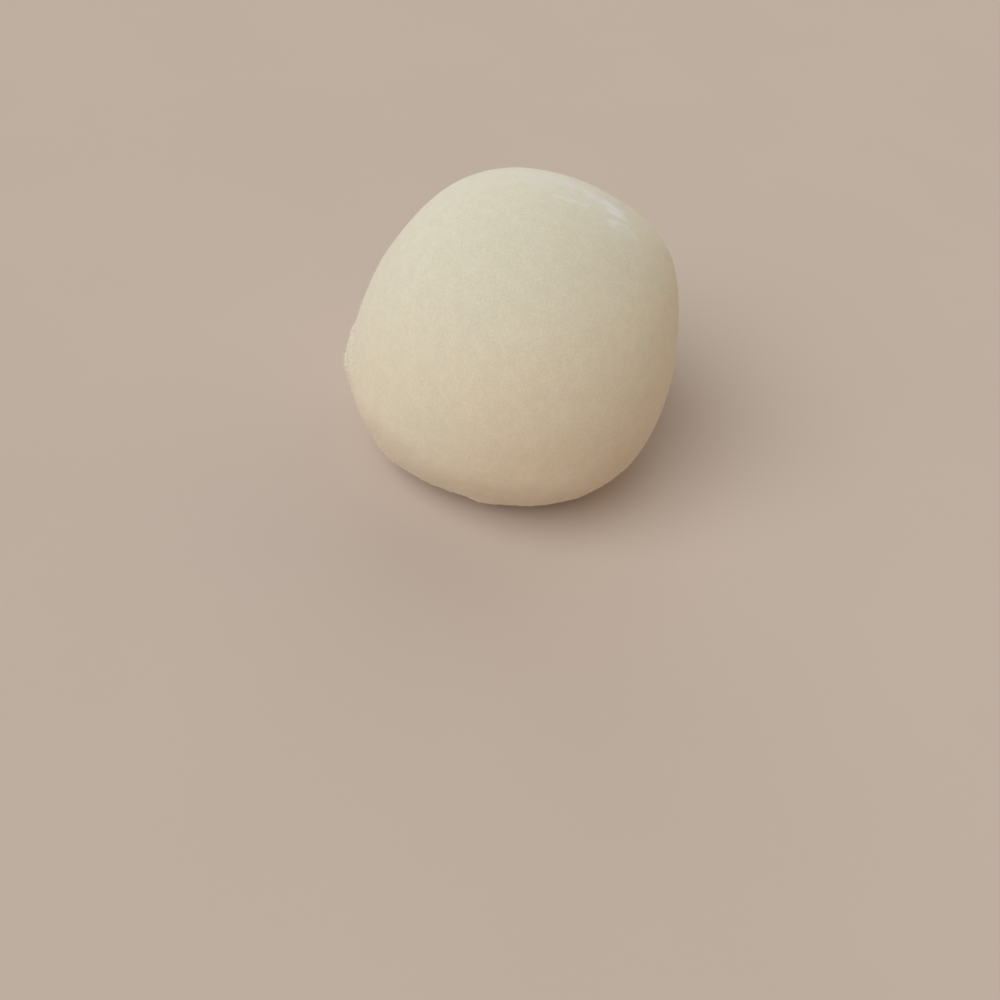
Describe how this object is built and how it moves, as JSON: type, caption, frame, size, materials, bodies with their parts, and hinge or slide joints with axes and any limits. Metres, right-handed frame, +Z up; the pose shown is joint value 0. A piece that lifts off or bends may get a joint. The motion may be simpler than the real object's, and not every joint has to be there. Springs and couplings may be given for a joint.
{
  "type": "mochi ice cream",
  "caption": "Round mochi ice cream: a soft, starch-dusted ball of pale rice dough over ice cream, uneven as made by hand, with a flat base to rest on.",
  "frame": {"origin": "on the surface that the base rests on, under the middle of the outline seen from above", "axes": "+Z up out of the base; X along the widest way across, with the flatter flank at -X; the camera of the picture looks from -Y and above"},
  "size_m": [0.0458, 0.0452, 0.0428],
  "materials": {
    "rice_dough": "soft matte, dusted with starch"
  },
  "bodies": {
    "root": {"mochi": "rice_dough"}
  },
  "joints": []
}
